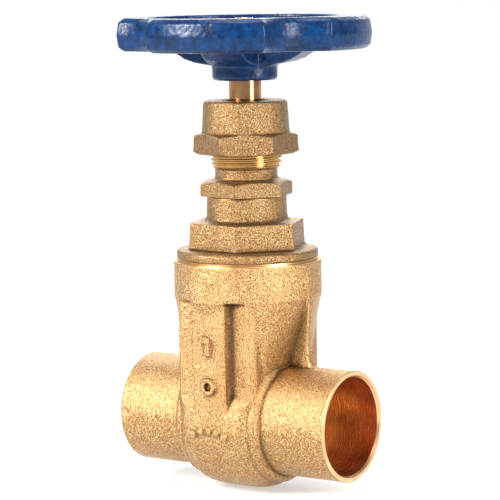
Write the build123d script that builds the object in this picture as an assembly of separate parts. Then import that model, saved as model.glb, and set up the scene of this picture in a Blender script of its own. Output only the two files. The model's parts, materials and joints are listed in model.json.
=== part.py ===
from build123d import *
import math
import os

# Bronze gate valve, 1 in size, solder-cup ends, wedge that rises on a fixed-height stem.
# Origin: where the pipe axis (X) crosses the stem axis (Z). The cast panel faces -Y.
# Lengths in millimetres. The valve is drawn shut.

os.makedirs("parts", exist_ok=True)

# ---------- driving dimensions ----------
# solder cups, for copper tube of 28.58 outside diameter
CUP_R = 14.33
CUP_DEPTH = 23.1
TUBE_R = 16.15
HALF_LENGTH = 35.84
PORT_R = 12.7

# body casting
BARREL_R = 20.7          # belly under the wedge
DRUM_R = 18.5            # shoulder where each tube leaves the belly
DRUM_X = 14.5
STRIP_HALF_W = 5.7       # raised strip down the panel
PANEL_Y = 17.3           # deepest line of the pockets beside the strip
SIDE_X = 13.6            # half width of the waist
COLLAR_R = 21.7
COLLAR_Z0, COLLAR_Z1 = 36.0, 46.7
FIN_T = 2.4
FIN_X = 21.9
PIP_R, PIP_STEP = 1.0, 2.7   # arched row of raised pips under the strip
PIP_PROUD = 1.0

# wedge and its chamber
SEAT_ANGLE = 5.0
WEDGE_HALF_T = 6.5
WEDGE_R = 14.3
SEAT_GAP = 0.04
CHAMBER_HALF_T = 8.5
CHAMBER_R = 15.6
BOSS_R = 7.5
BOSS_TOP = 25.0
BORE_BOTTOM = -9.0
WEDGE_BORE_R = 4.7        # plain, clear of the stem thread crest over the whole lift
LIFT = 27.0

# stem
STEM_R = 4.76
STEM_PITCH = 3.175
STEM_ROOT_R, STEM_CREST_R = 3.4, 4.4
STEM_BOTTOM, STEM_THREAD_TOP = 19.0, 54.0
STEM_COLLAR_R = 7.5
STEM_COLLAR_Z0, STEM_COLLAR_Z1 = 57.0, 59.6
RUN_GAP = 0.05           # running clearance, per side
END_PLAY = 0.03

# bonnet
NECK_THREAD_R = 18.9
SKIRT_R = 16.2
FLANGE_R = 20.8
BONNET_HEX_R, BONNET_HEX_Z0, BONNET_HEX_Z1 = 17.9, 50.0, 57.9
BONNET_NECK_R, BONNET_TOP = 11.7, 65.25
BONNET_HEX_TURN = -66.5

# stuffing box
BOX_PLUG_R, BOX_BOTTOM = 9.2, 59.6
BOX_HEX_R, BOX_HEX_Z0, BOX_HEX_Z1 = 13.9, 65.55, 69.6
BOX_HEX_TURN = -70.5
BOX_WAIST_R = 9.1
BOX_CREST_R, BOX_ROOT_R, BOX_PITCH = 10.4, 9.75, 1.27
BOX_THREAD_Z0, BOX_TOP = 74.0, 83.0
PACKING_R, PACKING_Z0 = 7.5, 69.9

# packing nut and gland
NUT_HEX_R, NUT_HEX_Z0, NUT_HEX_Z1 = 15.5, 77.6, 83.1
NUT_HEX_TURN = -85.13
NUT_TOP = 93.3
GLAND_R, GLAND_FLANGE_R = 7.4, 9.4
GLAND_Z0, GLAND_Z1 = 79.9, 89.2
RING_COUNT = 4

# handwheel
WHEEL_R = 37.2
WHEEL_Z0, WHEEL_ZM, WHEEL_Z1 = 107.8, 112.5, 117.6
WHEEL_TURN = -75.1       # direction of one lobe, seen from above
LOBES = 4
GRIP_R, GRIP_DEPTH = 13.5, 6.0
HUB_R, HUB_Z0, HUB_Z1 = 9.6, 99.0, 111.6
SQUARE = 6.6             # stem square under the wheel nut


# ---------- helpers ----------
def rod(r, z0, z1):
    """Upright cylinder from z0 to z1."""
    return Pos(0, 0, z0) * extrude(Circle(r), z1 - z0)


def rod_x(r, x0, x1):
    """Cylinder along X from x0 to x1."""
    return Plane.YZ.offset(x0) * extrude(Circle(r), x1 - x0)


def turned(points, axis=Axis.Z):
    """Solid of revolution; points are (radius, z) about Z, or (radius, x) about X."""
    if axis == Axis.Z:
        outline = Polyline(*[(r, 0, z) for r, z in points], close=True)
    else:
        outline = Polyline(*[(x, 0, r) for r, x in points], close=True)
    return revolve(make_face(outline), axis)


def helical_ridge(root_r, crest_r, pitch, z0, z1, root_w, crest_w, left=False):
    """Trapezoid thread ridge wound on a cylinder of root_r, cut flat at z0 and z1."""
    path = Helix(pitch, z1 - z0 + 2 * pitch, root_r, center=(0, 0, z0 - pitch), lefthand=left)
    sink = 0.35
    flank = (root_w - crest_w) / 2 / (crest_r - root_r)
    base_w = root_w / 2 + sink * flank
    section = Plane(origin=path @ 0, x_dir=(1, 0, 0), z_dir=path % 0) * make_face(
        Polyline((-sink, -base_w), (crest_r - root_r, -crest_w / 2),
                 (crest_r - root_r, crest_w / 2), (-sink, base_w), close=True))
    ridge = sweep(section, path=path, is_frenet=True)
    return ridge & rod(crest_r + 1, z0, z1)


def slab(half_t, z0, z1):
    """Wedge-shaped slab: half thickness half_t at z = 0, opening upwards by the seat angle."""
    k = math.tan(math.radians(SEAT_ANGLE))
    side = make_face(Polyline((half_t + z0 * k, 0, z0), (half_t + z1 * k, 0, z1),
                              (-half_t - z1 * k, 0, z1), (-half_t - z0 * k, 0, z0), close=True))
    return extrude(side, 30, both=True, dir=(0, 1, 0))


def hexagon(r, z0, z1, turn, draft=3.0):
    return Pos(0, 0, z0) * extrude(Rot(0, 0, turn) * RegularPolygon(r, 6), z1 - z0, taper=draft)


def threaded_edge(root_r, crest_r, pitch, z0, z1):
    """Points up the edge of a turned thread, from z0 to z1."""
    points = [(root_r, z0)]
    count = int((z1 - z0) / pitch)
    for k in range(count):
        z = z0 + k * pitch
        points += [(root_r, z + 0.2 * pitch), (crest_r, z + 0.45 * pitch), (crest_r, z + 0.6 * pitch),
                   (root_r, z + 0.85 * pitch)]
    return points + [(root_r, z1)]


# ---------- body ----------
tubes = rod_x(TUBE_R, -HALF_LENGTH, HALF_LENGTH)
drum = turned([(0, -DRUM_X), (DRUM_R - 1.5, -DRUM_X), (DRUM_R - 0.5, -DRUM_X + 0.5), (DRUM_R, -DRUM_X + 1.5),
               (DRUM_R, DRUM_X - 1.5), (DRUM_R - 0.5, DRUM_X - 0.5), (DRUM_R - 1.5, DRUM_X), (0, DRUM_X)], Axis.X)
belly_profile = [(0, -12.6), (17.0, -12.6), (18.6, -11.6), (19.8, -10.0), (20.4, -8.0), (BARREL_R, -5.5)]
belly = turned(belly_profile + [(r, -x) for r, x in reversed(belly_profile)], Axis.X)

quarter = [(STRIP_HALF_W, BARREL_R), (9.0, 19.7), (11.4, 18.5), (12.8, 17.4), (13.5, 15.8), (SIDE_X, 12.0)]
half = quarter + [(x, -y) for x, y in reversed(quarter)]
section = make_face(Polyline(*half, *[(-x, y) for x, y in reversed(half)], close=True))
waist = Pos(0, 0, -5) * extrude(section, COLLAR_Z0 + 5.4)
waist &= turned([(0, -5), (19.5, -5), (23, 2), (23, 40), (0, 40)])
flare = loft([Pos(0, 0, 13) * RectangleRounded(2 * SIDE_X, 31, 5.0), Pos(0, 0, COLLAR_Z0 + 0.5) * Circle(COLLAR_R)])
collar = turned([(0, COLLAR_Z0), (COLLAR_R + 0.05, COLLAR_Z0), (COLLAR_R, COLLAR_Z1 - 0.4),
                 (COLLAR_R - 0.4, COLLAR_Z1), (0, COLLAR_Z1)])
fin_side = make_face(Polyline((10, 0, 12), (26.0, 0, 15.6), (23.0, 0, 16.6), (21.6, 0, 18.4), (21.3, 0, 21.0),
                              (FIN_X, 0, 34.0), (FIN_X, 0, 44.0), (10, 0, 44.0), close=True))
fin = extrude(fin_side, FIN_T / 2, both=True, dir=(0, 1, 0))
fins = fin + mirror(fin, Plane.YZ)

body = tubes + drum + belly + waist + flare + collar + fins

# pockets beside the strip: a sloping floor, and a ramp at the foot
pocket = Pos(0, 0, 2) * extrude(make_face(Polyline(
    (STRIP_HALF_W, 24), (STRIP_HALF_W, 17.5), (7.0, PANEL_Y), (9.5, 17.8), (12.3, 18.1), (15, 18.1), (15, 24),
    close=True)),
    COLLAR_Z0 - 2)
pocket &= extrude(make_face(Polyline((0, 24, 3.0), (0, 20.8, 3.4), (0, 16.6, 9.8), (0, 16.6, COLLAR_Z0),
                                     (0, 24, COLLAR_Z0), close=True)), 30, both=True, dir=(1, 0, 0))
for k in (0, 180):
    body -= Rot(0, 0, k) * pocket
    body -= Rot(0, 0, k) * mirror(pocket, Plane.YZ)

# raised marks on the panel: size numeral, ring, arched row of round pips, and a pip on the collar
panel = Plane(origin=(0, -BARREL_R + 0.2, 0), x_dir=(1, 0, 0), z_dir=(0, -1, 0))
numeral = Pos(0.2, 23.4) * (Rectangle(1.6, 5.4) + Pos(-1.2, 1.8) * Rot(0, 0, 38) * Rectangle(2.4, 1.2))
ring_mark = Pos(0.2, 11.6) * (Circle(2.4) - Circle(1.2))
body += extrude(panel * numeral, 1.3) + extrude(panel * ring_mark, 1.3)
for k in range(-2, 3):
    x = PIP_STEP * k
    body += Pos(x, -BARREL_R, -1.2 - 0.05 * x * x) * Rot(90, 0, 0) * Cylinder(PIP_R, 2 * PIP_PROUD)
body += Rot(0, 0, -86) * Pos(COLLAR_R, 0, 42.2) * Rot(0, 90, 0) * Cylinder(1.1, 0.9)

# inside: wedge chamber, lug grooves, seats, ports, cups and the bonnet thread
chamber = (rod_x(CHAMBER_R, -13, 13) + Pos(0, 0, 18.5) * Box(26, 2 * CHAMBER_R, 37)) & slab(CHAMBER_HALF_T, -17, 37)
grooves = Pos(0, 0, 14.6) * Box(6.0, 36.2, 44.8)
body -= chamber + grooves
seats = rod_x(15.0, -11, 11) - slab(WEDGE_HALF_T + SEAT_GAP, -17, 17)
body += seats
body -= rod_x(PORT_R, -14, 14)
cup = turned([(0, HALF_LENGTH - CUP_DEPTH), (CUP_R, HALF_LENGTH - CUP_DEPTH), (CUP_R, HALF_LENGTH - 0.5),
              (CUP_R + 0.45, HALF_LENGTH + 0.01), (0, HALF_LENGTH + 0.01)], Axis.X)
body -= cup + mirror(cup, Plane.YZ)
body -= turned([(0, 36.6)] + threaded_edge(NECK_THREAD_R - 0.65, NECK_THREAD_R + 0.05, 2.0, 36.6, COLLAR_Z1 + 0.1)
               + [(0, COLLAR_Z1 + 0.1)])
bore_relief = rod(12.2, 30, 38) & Pos(0, 0, 34) * Box(40, 40, 8)
body -= bore_relief

# ---------- wedge ----------
wedge = slab(WEDGE_HALF_T, -16, 16) & rod_x(WEDGE_R, -12, 12)
wedge += turned([(0, 4), (BOSS_R, 4), (BOSS_R, BOSS_TOP - 0.8), (BOSS_R - 0.8, BOSS_TOP), (0, BOSS_TOP)])
wedge += Box(5.4, 35.6, 12)
wedge -= rod(WEDGE_BORE_R, BORE_BOTTOM, BOSS_TOP + 1)

# ---------- stem ----------
stem = turned([(0, STEM_BOTTOM), (STEM_ROOT_R - 0.6, STEM_BOTTOM), (STEM_ROOT_R, STEM_BOTTOM + 0.6),
               (STEM_ROOT_R, STEM_THREAD_TOP), (STEM_CREST_R - 0.3, STEM_THREAD_TOP + 1.0),
               (STEM_CREST_R - 0.3, STEM_COLLAR_Z0 + END_PLAY), (STEM_COLLAR_R, STEM_COLLAR_Z0 + END_PLAY),
               (STEM_COLLAR_R, STEM_COLLAR_Z1 - END_PLAY), (STEM_R, STEM_COLLAR_Z1 - END_PLAY),
               (STEM_R, 101.5), (0, 101.5)])
stem += helical_ridge(STEM_ROOT_R, STEM_CREST_R, STEM_PITCH, STEM_BOTTOM, STEM_THREAD_TOP, 1.75, 1.05, left=True)
square = Pos(0, 0, 101.4) * extrude(Rot(0, 0, WHEEL_TURN) * Rectangle(SQUARE, SQUARE), 9.8)
stem += square + rod(3.0, 111.1, 116.6) + turned([(0, 116.6), (3.0, 116.6), (2.5, 117.1), (0, 117.1)])

# ---------- bonnet ----------
bonnet = turned([(SKIRT_R, 36.7)] + threaded_edge(NECK_THREAD_R - 0.75, NECK_THREAD_R - 0.05, 2.0, 36.7, COLLAR_Z1)
                + [(FLANGE_R - 0.5, COLLAR_Z1), (FLANGE_R - 0.3, 47.3), (FLANGE_R, 47.4), (FLANGE_R, 49.3),
                 (FLANGE_R - 0.5, 49.9), (FLANGE_R - 1.4, 50.2), (0, 50.2), (0, 48), (SKIRT_R, 48)])
bonnet += hexagon(BONNET_HEX_R + 0.2, BONNET_HEX_Z0 - 0.2, BONNET_HEX_Z1, BONNET_HEX_TURN)
bonnet += turned([(0, 57.0), (14.2, 57.0), (14.0, 57.9), (12.9, 58.15), (12.2, 58.6), (11.9, 59.5),
                  (BONNET_NECK_R, 64.6), (BONNET_NECK_R - 0.1, BONNET_TOP), (0, BONNET_TOP)])
bonnet -= turned([(0, 46), (SKIRT_R, 46), (SKIRT_R, 48.2), (12.0, 50.4), (12.0, 52.6), (9.0, 53.5), (0, 53.5)])
bonnet -= rod(STEM_CREST_R + RUN_GAP + 0.05, 52, 58)
bonnet -= rod(BOX_PLUG_R + 0.1, STEM_COLLAR_Z0, 70)

# ---------- stuffing box ----------
box = turned([(0, BOX_BOTTOM), (BOX_PLUG_R - 0.4, BOX_BOTTOM), (BOX_PLUG_R, BOX_BOTTOM + 0.4), (BOX_PLUG_R, 65.3),
              (11.2, 65.3), (11.2, BOX_HEX_Z0), (12.0, BOX_HEX_Z0), (12.0, BOX_HEX_Z1), (10.2, 70.0), (9.4, 70.5),
              (BOX_WAIST_R, 71.2), (BOX_WAIST_R, 73.2), (BOX_ROOT_R, BOX_THREAD_Z0), (BOX_ROOT_R, BOX_TOP),
              (0, BOX_TOP)])
box_hex = hexagon(BOX_HEX_R + 0.05, BOX_HEX_Z0, BOX_HEX_Z1 + 0.4, BOX_HEX_TURN, 1.5)
box += box_hex & turned([(0, 65), (14.6, 65), (14.6, BOX_HEX_Z1 - 0.9), (11.4, BOX_HEX_Z1 + 0.4),
                         (0, BOX_HEX_Z1 + 0.4)])
box += helical_ridge(BOX_ROOT_R, BOX_CREST_R, BOX_PITCH, BOX_THREAD_Z0, BOX_TOP, 0.95, 0.25)
box -= rod(STEM_R + RUN_GAP, BOX_BOTTOM - 1, PACKING_Z0 + 1)
box -= rod(PACKING_R, PACKING_Z0, BOX_TOP + 1)

# ---------- packing rings ----------
ring_h = (GLAND_Z0 - PACKING_Z0) / RING_COUNT - 0.04
rings = []
for k in range(RING_COUNT):
    z0 = PACKING_Z0 + 0.02 + k * (ring_h + 0.04)
    r0, r1 = STEM_R + RUN_GAP, PACKING_R - 0.03
    rings.append(turned([(r0, z0 + 0.3), (r0 + 0.3, z0), (r1 - 0.3, z0), (r1, z0 + 0.3), (r1, z0 + ring_h - 0.3),
                         (r1 - 0.3, z0 + ring_h), (r0 + 0.3, z0 + ring_h), (r0, z0 + ring_h - 0.3)]))

# ---------- gland ----------
gland = turned([(STEM_R + RUN_GAP, GLAND_Z0), (GLAND_R, GLAND_Z0), (GLAND_R, 85.4), (GLAND_FLANGE_R, 85.4),
                (GLAND_FLANGE_R, 88.4), (GLAND_FLANGE_R - 0.8, GLAND_Z1), (STEM_R + RUN_GAP, GLAND_Z1)])

# ---------- packing nut ----------
nut = hexagon(NUT_HEX_R + 0.1, NUT_HEX_Z0, NUT_HEX_Z1 + 0.7, NUT_HEX_TURN)
nut &= turned([(0, 77), (14.0, NUT_HEX_Z0), (16.5, 78.6), (16.5, NUT_HEX_Z1 - 0.5), (12.9, NUT_HEX_Z1 + 0.7),
               (0, NUT_HEX_Z1 + 0.7)])
nut += turned([(0, 82), (12.9, 82), (12.83, 84.5), (12.36, 92.3), (12.1, 93.0), (11.5, NUT_TOP), (0, NUT_TOP)])
nut -= turned([(0, 77), (BOX_CREST_R + 0.7, 77), (BOX_CREST_R + 0.05, 78.2), (BOX_CREST_R + 0.05, 84.6), (9.6, 85.2),
                (0, 85.2)])
nut -= rod(9.6, 84, GLAND_Z1 + 0.02)
nut -= turned([(0, 88), (6.2, 88), (6.2, 92.3), (6.9, NUT_TOP + 0.1), (0, NUT_TOP + 0.1)])

# ---------- handwheel ----------
rim = turned([(28.2, WHEEL_Z0), (WHEEL_R - 2.1, WHEEL_Z0), (WHEEL_R - 0.5, WHEEL_Z0 + 1.2), (WHEEL_R, WHEEL_ZM),
              (WHEEL_R - 0.6, WHEEL_Z1 - 1.3), (WHEEL_R - 2.1, WHEEL_Z1), (28.2, WHEEL_Z1)])
grip = turned([(0, 107), (GRIP_R + 2.5, 107), (GRIP_R + 0.5, WHEEL_Z0 + 1.2), (GRIP_R, WHEEL_ZM),
               (GRIP_R + 0.6, WHEEL_Z1 - 1.3), (GRIP_R + 2.6, 118), (0, 118)])
hub = turned([(0, HUB_Z0), (HUB_R - 0.7, HUB_Z0), (HUB_R, HUB_Z0 + 0.7), (HUB_R, HUB_Z1 - 0.7),
              (HUB_R - 0.7, HUB_Z1), (0, HUB_Z1)])
arm_side = make_face(Polyline((4, 0, 103.4), (9, 0, 103.4), (13.5, 0, 104.2), (16.5, 0, 105.2), (20.0, 0, 107.4),
                              (24.0, 0, 109.6), (29.5, 0, 110.4), (29.5, 0, 113.8), (24.0, 0, 113.0),
                              (20.0, 0, 111.0), (16.0, 0, 109.0), (12.0, 0, 108.4), (4, 0, 108.2), close=True))
arm = extrude(arm_side, 6.5, both=True, dir=(0, 1, 0))
for k in range(LOBES):
    rim -= Rot(0, 0, WHEEL_TURN + 45 + 90 * k) * Pos(WHEEL_R - GRIP_DEPTH + GRIP_R, 0, 0) * grip
wheel = rim + [Rot(0, 0, WHEEL_TURN + 90 * k) * arm for k in range(LOBES)] + hub
wheel -= rod(STEM_R + 0.03, HUB_Z0 - 1, 101.55)
wheel -= Pos(0, 0, 101) * extrude(Rot(0, 0, WHEEL_TURN) * Rectangle(SQUARE + 0.06, SQUARE + 0.06), 12)

# ---------- identification plate and handwheel nut ----------
plate = rod(11.0, HUB_Z1, HUB_Z1 + 0.8) - rod(3.15, HUB_Z1 - 1, HUB_Z1 + 2)
plate += turned([(10.0, HUB_Z1 + 0.7), (10.6, HUB_Z1 + 0.7), (10.6, HUB_Z1 + 1.1), (10.0, HUB_Z1 + 1.1)])
wheel_nut = hexagon(6.4, HUB_Z1 + 0.8, 116.4, WHEEL_TURN, 0)
wheel_nut &= turned([(0, 112), (6.0, 112), (6.6, 113.0), (6.6, 115.6), (5.6, 116.4), (0, 116.4)])
wheel_nut -= rod(3.04, 110, 118)

pieces = {
    "body": body, "bonnet": bonnet, "stuffing_box": box, "packing_nut": nut, "packing_gland": gland,
    "stem": stem, "wedge": wedge, "handwheel": wheel, "identification_plate": plate, "handwheel_nut": wheel_nut,
}
for k, ring in enumerate(rings, 1):
    pieces[f"packing_ring_{k}"] = ring

for name, piece in pieces.items():
    export_step(piece, f"parts/{name}.step")
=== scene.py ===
import json
import math
import bpy
import bmesh
import numpy as np
from mathutils import Matrix, Vector, noise


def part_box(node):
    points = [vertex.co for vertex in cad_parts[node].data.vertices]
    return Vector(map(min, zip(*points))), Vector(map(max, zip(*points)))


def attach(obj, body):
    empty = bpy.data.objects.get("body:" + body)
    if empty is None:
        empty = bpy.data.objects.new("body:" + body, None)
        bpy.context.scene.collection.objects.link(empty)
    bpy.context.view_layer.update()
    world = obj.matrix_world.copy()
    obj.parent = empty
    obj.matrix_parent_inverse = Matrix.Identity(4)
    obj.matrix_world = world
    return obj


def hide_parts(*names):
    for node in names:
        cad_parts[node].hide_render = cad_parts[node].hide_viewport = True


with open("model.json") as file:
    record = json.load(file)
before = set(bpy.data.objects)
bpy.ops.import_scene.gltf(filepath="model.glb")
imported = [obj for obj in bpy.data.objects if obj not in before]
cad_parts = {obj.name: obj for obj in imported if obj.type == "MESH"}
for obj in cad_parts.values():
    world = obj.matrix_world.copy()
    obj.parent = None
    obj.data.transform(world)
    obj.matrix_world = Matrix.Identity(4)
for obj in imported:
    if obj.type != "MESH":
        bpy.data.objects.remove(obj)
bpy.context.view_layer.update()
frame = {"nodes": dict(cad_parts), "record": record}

nodes = frame["nodes"]

# ---------- where things are, from the CAD ----------
BODY_LO, BODY_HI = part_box("body")
END_X = BODY_HI[0]                       # end face of the outlet cup
BELLY_Z = BODY_LO[2]
COLLAR_TOP = BODY_HI[2]
WAIST_R = 0.0217                         # collar's radius
NECK_R = 0.01168                         # bonnet neck's radius at its top
MARK_Y = 0.0209                          # the raised marks stand proud of this
mounts = {m["name"]: m for m in frame["record"]["mounts"]}
CUP_R = mounts["outlet_cup"]["dims"]["r_mm"] / 1000
BONNET_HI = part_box("bonnet")[1]
BOX_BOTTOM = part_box("stuffing_box")[0][2]
THREAD_FOOT = BOX_BOTTOM + 0.0142        # the cut thread on the stuffing box starts here
CUP_FROM_X = 0.0132                      # each cup runs from here out to its end face
MARKS_TOP = COLLAR_TOP - 0.0105          # the marks on the strip lie below this


# ---------- materials ----------
class Shader:
    """Small helper: a node material with a principled shader."""

    def __init__(self, name):
        self.mat = bpy.data.materials.new(name)
        self.mat.use_nodes = True
        self.tree = self.mat.node_tree
        self.bsdf = self.tree.nodes["Principled BSDF"]
        self.place = self.tree.nodes.new("ShaderNodeTexCoord")

    def add(self, kind, **values):
        n = self.tree.nodes.new(kind)
        for key, value in values.items():
            if hasattr(n, key):
                setattr(n, key, value)
            else:
                n.inputs[key.replace("_", " ")].default_value = value
        return n

    def link(self, a, b):
        self.tree.links.new(a, b)

    def noise(self, scale, detail=2.0, rough=0.5, distortion=0.0):
        n = self.add("ShaderNodeTexNoise")
        n.inputs["Scale"].default_value = scale
        n.inputs["Detail"].default_value = detail
        n.inputs["Roughness"].default_value = rough
        n.inputs["Distortion"].default_value = distortion
        self.link(self.place.outputs["Object"], n.inputs["Vector"])
        return n.outputs["Fac"]

    def ramp(self, fac, stops):
        n = self.add("ShaderNodeValToRGB")
        e = n.color_ramp.elements
        e[0].position, e[0].color = stops[0][0], (*stops[0][1], 1)
        e[1].position, e[1].color = stops[-1][0], (*stops[-1][1], 1)
        for p, c in stops[1:-1]:
            e.new(p).color = (*c, 1)
        self.link(fac, n.inputs["Fac"])
        return n.outputs["Color"]

    def span(self, fac, lo, hi, a=0.0, b=1.0):
        n = self.add("ShaderNodeMapRange")
        n.inputs["From Min"].default_value = a
        n.inputs["From Max"].default_value = b
        n.inputs["To Min"].default_value = lo
        n.inputs["To Max"].default_value = hi
        self.link(fac, n.inputs["Value"])
        return n.outputs["Result"]

    def mix(self, fac, a, b, blend="MIX"):
        n = self.tree.nodes.new("ShaderNodeMix")
        n.data_type = "RGBA"
        n.blend_type = blend
        for k, v in (("Factor", fac), ("A", a), ("B", b)):
            socket = [s for s in n.inputs if s.name == k and (s.type == "RGBA" or k == "Factor")][0]
            if isinstance(v, (int, float)):
                socket.default_value = v
            elif isinstance(v, tuple):
                socket.default_value = (*v, 1)
            else:
                self.link(v, socket)
        return [s for s in n.outputs if s.type == "RGBA"][0]

    def bump(self, height, strength, distance, chain=None):
        n = self.add("ShaderNodeBump")
        n.inputs["Strength"].default_value = strength
        n.inputs["Distance"].default_value = distance
        self.link(height, n.inputs["Height"])
        if chain is not None:
            self.link(chain, n.inputs["Normal"])
        return n.outputs["Normal"]

    def set(self, **values):
        for key, value in values.items():
            socket = self.bsdf.inputs[key.replace("_", " ")]
            if isinstance(value, (int, float)):
                socket.default_value = value
            elif isinstance(value, tuple):
                socket.default_value = (*value, 1)
            else:
                self.link(value, socket)


def cast_bronze(name, tone_and_shade=1.0, bright_from=None):
    """Sand-cast bronze: golden grain, painted shade with a little brown patina in the hollows, bright worn
    edges, and cut metal above bright_from.
    """
    s = Shader(name)
    grain = s.noise(2900, 3.0, 0.60)
    fine = s.noise(5200, 2.0, 0.5)
    broad = s.noise(70, 2.0, 0.5, 0.3)
    colour = s.ramp(grain, [(0.31, (0.12, 0.050, 0.019)), (0.43, (0.34, 0.188, 0.072)),
                            (0.54, (0.56, 0.360, 0.155)), (0.67, (0.97, 0.76, 0.44))])
    # the tone factor darkens the whole piece: partly its own browner bronze, partly painted shade for the
    # wheel above the upper parts
    yellow, pink = (tone_and_shade, 0.97 * tone_and_shade, 0.90 * tone_and_shade), (tone_and_shade, 0.87 * tone_and_shade, 0.82 * tone_and_shade)
    warm = s.ramp(broad, [(0.35, yellow), (0.65, pink)])
    colour = s.mix(1.0, colour, warm, "MULTIPLY")
    # painted shade: dark brown mixed into creases, corners and recesses to stand in for the shade there,
    # with a little brown patina
    painted_hollow_shade = s.add("ShaderNodeAttribute")
    painted_hollow_shade.attribute_name = "hollow_shade"
    colour = s.mix(painted_hollow_shade.outputs["Fac"], colour, (0.050, 0.022, 0.007))
    worn = s.add("ShaderNodeAttribute")
    worn.attribute_name = "edge"
    colour = s.mix(s.span(worn.outputs["Fac"], 0.0, 0.55), colour, (1.0, 0.80, 0.48))
    rough = s.span(grain, 0.46, 0.26, 0.38, 0.66)
    height = grain
    if bright_from is not None:
        split = s.add("ShaderNodeSeparateXYZ")
        s.link(s.place.outputs["Object"], split.inputs["Vector"])
        cut = s.span(split.outputs["Z"], 0.0, 1.0, bright_from, bright_from + 0.0003)
        colour = s.mix(cut, colour, (0.62, 0.40, 0.15))
        height = s.mix(cut, grain, (0.5, 0.5, 0.5))
        calm = s.add("ShaderNodeMath", operation="MULTIPLY_ADD")
        s.link(cut, calm.inputs[0])
        calm.inputs[1].default_value = -0.28
        s.link(rough, calm.inputs[2])
        rough = calm.outputs["Value"]
    normal = s.bump(height, 0.90, 0.00026)
    normal = s.bump(fine, 0.30, 0.00006, normal)
    s.set(Base_Color=colour, Metallic=0.92, Roughness=rough, Normal=normal)
    return s.mat


def turned_metal(name, low, high, rough, axis="Z", scale=2600):
    """Machined metal: fine rings round the turning axis."""
    s = Shader(name)
    split = s.add("ShaderNodeSeparateXYZ")
    s.link(s.place.outputs["Object"], split.inputs["Vector"])
    combine = s.add("ShaderNodeCombineXYZ")
    s.link(split.outputs[axis], combine.inputs["X"])
    lines = s.add("ShaderNodeTexNoise")
    lines.inputs["Scale"].default_value = scale
    lines.inputs["Detail"].default_value = 3.0
    s.link(combine.outputs["Vector"], lines.inputs["Vector"])
    cloud = s.noise(160, 2.0, 0.5)
    colour = s.mix(s.span(cloud, 0.0, 1.0, 0.35, 0.65), low, high)
    colour = s.mix(s.span(lines.outputs["Fac"], 0.0, 0.35, 0.35, 0.65), colour, low)
    gloss = s.span(lines.outputs["Fac"], rough * 0.75, rough * 1.35, 0.3, 0.7)
    normal = s.bump(lines.outputs["Fac"], 0.25, 0.00003)
    s.set(Base_Color=colour, Metallic=1.0, Roughness=gloss, Normal=normal)
    return s.mat


def enamel(name):
    """Glossy blue paint over a cast surface, a little paler where an edge is worn."""
    s = Shader(name)
    skin = s.noise(420, 3.0, 0.55)
    fine = s.noise(1300, 2.0, 0.5)
    chips = s.noise(260, 5.0, 0.7)
    colour = s.mix(s.span(skin, 0.0, 1.0, 0.35, 0.68), (0.0005, 0.013, 0.052), (0.0012, 0.036, 0.130))
    worn = s.add("ShaderNodeAttribute")
    worn.attribute_name = "edge"
    edge = s.add("ShaderNodeMath", operation="MULTIPLY")
    s.link(worn.outputs["Fac"], edge.inputs[0])
    s.link(s.span(chips, 0.0, 1.0, 0.46, 0.60), edge.inputs[1])
    colour = s.mix(edge.outputs["Value"], colour, (0.006, 0.060, 0.18))
    normal = s.bump(skin, 0.38, 0.00030)
    normal = s.bump(fine, 0.30, 0.00010, normal)
    s.set(Base_Color=colour, Metallic=0.0, Roughness=s.span(fine, 0.24, 0.42, 0.3, 0.7), Coat_Weight=0.0,
          Coat_Roughness=0.12, Specular_IOR_Level=0.28, Normal=normal)
    return s.mat


def packing_material(name):
    """Dark braided packing."""
    s = Shader(name)
    weave = s.add("ShaderNodeTexWave", wave_type="BANDS", bands_direction="DIAGONAL")
    weave.inputs["Scale"].default_value = 700
    s.link(s.place.outputs["Object"], weave.inputs["Vector"])
    colour = s.mix(weave.outputs["Fac"], (0.03, 0.03, 0.032), (0.11, 0.105, 0.10))
    normal = s.bump(weave.outputs["Fac"], 0.6, 0.0002)
    s.set(Base_Color=colour, Metallic=0.1, Roughness=0.62, Normal=normal)
    return s.mat


CAST = cast_bronze("cast bronze")
# bonnet, packing nut and stuffing box: a browner tone of their own plus painted shade, darker towards the
# wheel
CAST_UPPER = cast_bronze("cast bronze, bonnet, darker with painted shade", 0.62)
CAST_NUT = cast_bronze("cast bronze, packing nut, darker with painted shade", 0.56)
CAST_THREADED = cast_bronze("cast bronze with cut thread, darker with painted shade", 0.56, THREAD_FOOT)
BRASS = turned_metal("machined brass", (0.72, 0.44, 0.15), (0.93, 0.66, 0.30), 0.22)
STEM = turned_metal("polished stem", (0.36, 0.165, 0.070), (0.64, 0.36, 0.165), 0.15)
CUP = turned_metal("bright cup bore", (0.80, 0.38, 0.22), (1.0, 0.60, 0.38), 0.26, "X", 1500)
FACE = turned_metal("machined end face", (0.78, 0.53, 0.25), (0.94, 0.70, 0.38), 0.38, "X")
JOINT = turned_metal("machined joint face", (0.62, 0.38, 0.15), (0.84, 0.56, 0.26), 0.34)
BLUE = enamel("blue enamel")
PACKING = packing_material("braided packing")
STEEL = turned_metal("zinc plated steel", (0.42, 0.43, 0.44), (0.70, 0.71, 0.72), 0.28)
PLATE = turned_metal("satin aluminium", (0.60, 0.61, 0.63), (0.82, 0.83, 0.85), 0.34)


# ---------- helpers for the cast pieces ----------
def paint_node(name, mat):
    o = nodes[name]
    o.data.materials.clear()
    o.data.materials.append(mat)


def remeshed(node, voxel):
    """A new mesh: the CAD node wrapped in an even skin of small faces."""
    copy = nodes[node].copy()
    copy.data = nodes[node].data.copy()
    bpy.context.scene.collection.objects.link(copy)
    copy.modifiers.clear()
    mod = copy.modifiers.new("skin", "REMESH")
    mod.mode = "VOXEL"
    mod.voxel_size = voxel
    mod.use_smooth_shade = True
    bpy.context.view_layer.update()
    deps = bpy.context.evaluated_depsgraph_get()
    mesh = bpy.data.meshes.new_from_object(copy.evaluated_get(deps))
    bpy.data.objects.remove(copy)
    return mesh


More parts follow.
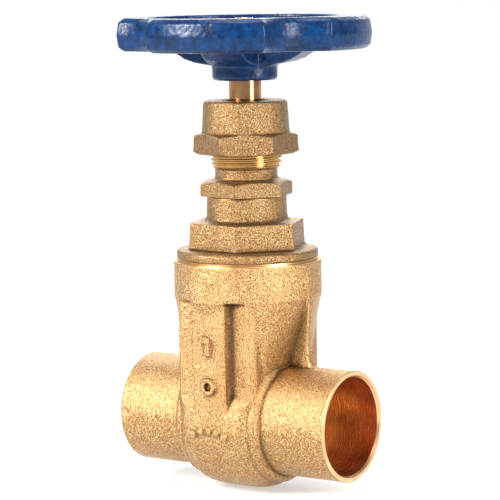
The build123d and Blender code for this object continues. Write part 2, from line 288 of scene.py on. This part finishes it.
def coords(mesh):
    a = np.empty(len(mesh.vertices) * 3, dtype=np.float64)
    mesh.vertices.foreach_get("co", a)
    return a.reshape(-1, 3)


def normals(mesh):
    a = np.empty(len(mesh.vertices) * 3, dtype=np.float64)
    mesh.vertices.foreach_get("normal", a)
    return a.reshape(-1, 3)


def neighbours(mesh):
    e = np.empty(len(mesh.edges) * 2, dtype=np.int64)
    mesh.edges.foreach_get("vertices", e)
    return e.reshape(-1, 2)


def relax(co, edges, weight, rounds):
    """Even smoothing; weight is 0 where the surface must stay."""
    count = np.zeros(len(co))
    np.add.at(count, edges[:, 0], 1)
    np.add.at(count, edges[:, 1], 1)
    for k in range(rounds):
        total = np.zeros_like(co)
        np.add.at(total, edges[:, 0], co[edges[:, 1]])
        np.add.at(total, edges[:, 1], co[edges[:, 0]])
        step = total / count[:, None] - co
        sign = 0.55 if k % 2 == 0 else -0.40
        co = co + step * weight[:, None] * sign
    return co


def hollow_value(co, nrm, edges, rounds=10):
    """How far the surface sits below its surroundings, from -1 to 1."""
    count = np.zeros(len(co))
    np.add.at(count, edges[:, 0], 1)
    np.add.at(count, edges[:, 1], 1)
    wide = co.copy()
    for _ in range(rounds):
        total = np.zeros_like(wide)
        np.add.at(total, edges[:, 0], wide[edges[:, 1]])
        np.add.at(total, edges[:, 1], wide[edges[:, 0]])
        wide = wide * 0.4 + 0.6 * total / count[:, None]
    return np.einsum("ij,ij->i", wide - co, nrm)


def finish_mesh(name, mesh, co, mat, node, body, attributes):
    mesh.vertices.foreach_set("co", co.astype(np.float32).ravel())
    mesh.update()
    for key, values in attributes.items():
        layer = mesh.attributes.new(key, "FLOAT", "POINT")
        layer.data.foreach_set("value", np.clip(values, 0, 1).astype(np.float32))
    mesh.materials.clear()
    mesh.materials.append(mat)
    mesh.polygons.foreach_set("use_smooth", [True] * len(mesh.polygons))
    o = bpy.data.objects.new(name, mesh)
    bpy.context.scene.collection.objects.link(o)
    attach(o, body)
    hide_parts(node)


def grain(co, nrm, amount, size):
    """Push the surface in by an uneven amount, as sand leaves it."""
    offset = np.array([noise.noise(Vector(p) / size) for p in co])
    coarse = np.array([noise.noise(Vector(p) / (size * 6)) for p in co])
    return co + nrm * ((offset - 0.9) * amount * 0.5 + (coarse - 0.9) * amount * 0.25)[:, None]


def cast_piece(name, node, voxel, rounds, amount, mat, body, weight=None, seat=None):
    mesh = remeshed(node, voxel)
    co, nrm, edges = coords(mesh), normals(mesh), neighbours(mesh)
    w = np.ones(len(co)) if weight is None else weight(co)
    co2 = relax(co, edges, w, rounds)
    dip = hollow_value(co2, nrm, edges, 8)
    wide_dip = hollow_value(co2, nrm, edges, 60)
    co3 = co2 + (grain(co2, nrm, amount, 0.0011) - co2) * w[:, None]
    # narrow and wide measure how deep a spot lies in a small crease or a broad recess; their sum is the
    # painted shade darkened into the bronze there
    narrow = np.clip(dip / (voxel * 1.3), 0, 0.75)
    wide = np.clip((wide_dip - 0.00004) / 0.0008, 0, 0.85)
    hollow_shade = np.clip(narrow + wide, 0, 0.92)
    edge = np.clip((-dip / voxel - 0.55) / 0.7, 0, 1)
    if seat is not None:
        co3 = seat(co3)
    finish_mesh(name, mesh, co3, mat, node, body, {"hollow_shade": hollow_shade, "edge": edge})


def lathe(name, profile, mat, body, axis="Z", steps=160):
    """Turned ring or sleeve; profile is a closed list of (radius, distance along the axis)."""
    n = len(profile)
    verts, faces = [], []
    for k in range(steps):
        a = 2 * math.pi * k / steps
        for r, h in profile:
            if axis == "Z":
                verts.append((r * math.cos(a), r * math.sin(a), h))
            else:
                verts.append((h, r * math.cos(a), r * math.sin(a)))
    for k in range(steps):
        j = (k + 1) % steps
        for i in range(n):
            m = (i + 1) % n
            faces.append((k * n + i, j * n + i, j * n + m, k * n + m))
    mesh = bpy.data.meshes.new(name)
    mesh.from_pydata(verts, [], faces)
    mesh.update()
    bm = bmesh.new()
    bm.from_mesh(mesh)
    bmesh.ops.recalc_face_normals(bm, faces=bm.faces)
    bm.to_mesh(mesh)
    bm.free()
    mesh.materials.append(mat)
    mesh.polygons.foreach_set("use_smooth", [True] * len(mesh.polygons))
    mesh.set_sharp_from_angle(angle=math.radians(25))
    o = bpy.data.objects.new(name, mesh)
    bpy.context.scene.collection.objects.link(o)
    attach(o, body)


# ---------- cast pieces ----------
def body_weight(co):
    """How freely the casting is smoothed: not at machined faces, and hardly at the raised marks."""
    end = np.clip((END_X - 0.0012 - np.abs(co[:, 0])) / 0.001, 0, 1)
    top = np.clip((COLLAR_TOP - 0.0009 - co[:, 2]) / 0.0008, 0, 1)
    across = np.hypot(co[:, 1], co[:, 2])
    cup = np.where((across < CUP_R + 0.0006) & (np.abs(co[:, 0]) > 0.012), 0.0, 1.0)
    pip = (np.hypot(co[:, 0], co[:, 1]) > WAIST_R + 0.00015) & (np.abs(co[:, 0]) < 0.004) & (co[:, 1] < 0)
    proud = np.where(((co[:, 1] < -MARK_Y) & (co[:, 2] < MARKS_TOP)) | pip, 0.12, 1.0)
    return np.minimum(np.minimum(np.minimum(end, top), cup), proud)


def body_seat(co):
    """Sink the casting a little under the machined end faces and cup bores that lie on it."""
    co = co.copy()
    co[:, 0] = np.clip(co[:, 0], -END_X + 0.00015, END_X - 0.00015)
    across = np.hypot(co[:, 1], co[:, 2])
    inside = (across < CUP_R + 0.0005) & (across > CUP_R - 0.0008) & (np.abs(co[:, 0]) > CUP_FROM_X)
    k = np.where(inside, (CUP_R + 0.0003) / np.maximum(across, 1e-6), 1.0)
    co[:, 1] *= k
    co[:, 2] *= k
    return co


cast_piece("body_casting", "body", 0.00032, 14, 0.00012, CAST, "valve_body",
           body_weight, body_seat)
cast_piece("bonnet_casting", "bonnet", 0.00030, 8, 0.00010, CAST_UPPER, "valve_body")
cast_piece("packing_nut_casting", "packing_nut", 0.00026, 6, 0.00010, CAST_NUT, "valve_body")
cast_piece("handwheel_casting", "handwheel", 0.00036, 12, 0.00014, BLUE, "stem_and_wheel")

paint_node("stuffing_box", CAST_THREADED)
paint_node("packing_gland", BRASS)
paint_node("stem", STEM)
paint_node("wedge", BRASS)
paint_node("identification_plate", PLATE)
paint_node("handwheel_nut", STEEL)
for k in range(1, 5):
    paint_node(f"packing_ring_{k}", PACKING)

# ---------- crisp machined surfaces ----------
# each outline gives the radius and how far it lies in from the end face
rim = CUP_R + 0.0017
bore_outline = [(CUP_R + 0.00045, 0.00002), (CUP_R - 0.00002, 0.0006), (CUP_R - 0.00002, 0.0230),
                (CUP_R + 0.0004, 0.0230), (CUP_R + 0.0008, 0.0006)]
face_outline = [(rim - 0.00012, 0), (CUP_R + 0.0005, 0), (CUP_R + 0.0006, 0.0004), (rim, 0.0004),
                (rim, 0.00012)]
for sign, tag in ((1, "outlet"), (-1, "inlet")):
    for part, outline, mat in (("cup_bore", bore_outline, CUP), ("end_face", face_outline, FACE)):
        placed = [(r, sign * (END_X - inward)) for r, inward in outline]
        lathe(f"{tag}_{part}", placed, mat, "valve_body", "X")

# bright turned rings: name, outer radius, lowest and highest point, and how deep they reach in
rings = (("joint_line", BONNET_HI[0] - 0.00022, COLLAR_TOP - 0.00002, COLLAR_TOP + 0.0006, 0.001),
         ("collar_edge", WAIST_R, COLLAR_TOP - 0.00035, COLLAR_TOP, 0.0012),
         ("neck_edge", NECK_R, BOX_BOTTOM + 0.00535, BONNET_HI[2], 0.0012))
for name, edge_r, z0, z1, depth in rings:
    outline = [(edge_r - depth, z0), (edge_r - 0.00006, z0), (edge_r, z0 + 0.00008),
               (edge_r - 0.00004, z1 - 0.00012), (edge_r - 0.0002, z1), (edge_r - depth, z1)]
    lathe(name, outline, JOINT, "valve_body")

# ---------- camera ----------
AZ, EL, DIST = math.radians(34.874), math.radians(10.566), 0.719858
PITCH, YAW, ROLL = math.radians(6.676), math.radians(-0.059), math.radians(-0.858)
cam = bpy.data.objects.new("camera", bpy.data.cameras.new("camera"))
bpy.context.scene.collection.objects.link(cam)
fa = AZ + YAW
forward = Vector((-math.sin(fa) * math.cos(PITCH), math.cos(fa) * math.cos(PITCH), -math.sin(PITCH)))
right = Vector((math.cos(fa), math.sin(fa), 0))
up = right.cross(forward)
right2 = math.cos(ROLL) * right + math.sin(ROLL) * up
up2 = -math.sin(ROLL) * right + math.cos(ROLL) * up
turn = Matrix((right2, up2, -forward)).transposed().to_4x4()
where = Vector((math.sin(AZ) * math.cos(EL), -math.cos(AZ) * math.cos(EL), math.sin(EL))) * DIST
cam.matrix_world = Matrix.Translation(where) @ turn
cam.data.sensor_width = 36
cam.data.lens = 174.9
cam.data.clip_start = 0.01
bpy.context.scene.camera = cam

# ---------- floor and light ----------
ahead = Vector((forward.x, forward.y, 0)).normalized()
BEND_START, BEND_R, BEND_STEPS = 0.9, 0.8, 16
profile = [(-3.0, 0.0), (BEND_START, 0.0)]
for k in range(1, BEND_STEPS + 1):
    t = math.pi / 2 * k / BEND_STEPS
    profile.append((BEND_START + BEND_R * math.sin(t), BEND_R - BEND_R * math.cos(t)))
profile.append((BEND_START + BEND_R, 3.0))
verts, faces = [], []
for d, h in profile:
    for side in (-3.5, 3.5):
        p = ahead * d + right * side
        verts.append((p.x, p.y, h))
for k in range(len(profile) - 1):
    faces.append((2 * k, 2 * k + 1, 2 * k + 3, 2 * k + 2))
floor_mesh = bpy.data.meshes.new("floor")
floor_mesh.from_pydata(verts, [], faces)
floor_mesh.polygons.foreach_set("use_smooth", [True] * len(floor_mesh.polygons))
floor = bpy.data.objects.new("floor", floor_mesh)
floor.location.z = BELLY_Z - 0.0005
bpy.context.scene.collection.objects.link(floor)
pale = Shader("pale floor")
pale.set(Base_Color=(0.45, 0.45, 0.45), Roughness=0.9, Emission_Color=(1.0, 1.0, 1.0),
         Emission_Strength=0.50)
floor_mesh.materials.append(pale.mat)

world = bpy.data.worlds.new("studio")
bpy.context.scene.world = world
world.use_nodes = True
world.node_tree.nodes["Background"].inputs["Color"].default_value = (1, 1, 1, 1)
world.node_tree.nodes["Background"].inputs["Strength"].default_value = 0.18


def area(name, place, aim, w, h, power):
    light = bpy.data.lights.new(name, "AREA")
    light.shape = "RECTANGLE"
    light.size, light.size_y, light.energy = w, h, power
    o = bpy.data.objects.new(name, light)
    o.location = place
    o.rotation_euler = (Vector(aim) - Vector(place)).to_track_quat("-Z", "Y").to_euler()
    bpy.context.scene.collection.objects.link(o)


centre = (0, 0, 0.045)
bpy.context.scene.view_settings.view_transform = "Standard"   # keeps the metal's contrast
area("key", where * 0.55 - right * 0.60 + Vector((0, 0, 0.34)), centre, 0.16, 0.26, 10.5)
area("side", where * 0.55 + right * 0.45 + Vector((0, 0, 0.16)), centre, 0.20, 0.40, 4.4)
area("backdrop", ahead * 0.45 + Vector((0, 0, 1.1)), ahead * 1.7 + Vector((0, 0, 0.5)), 1.6, 0.4, 12.0)
area("top", (0, 0, 0.70), centre, 0.35, 0.35, 1.8)
area("back", -where * 0.7 + Vector((0, 0, 0.45)), centre, 0.5, 0.3, 1.6)
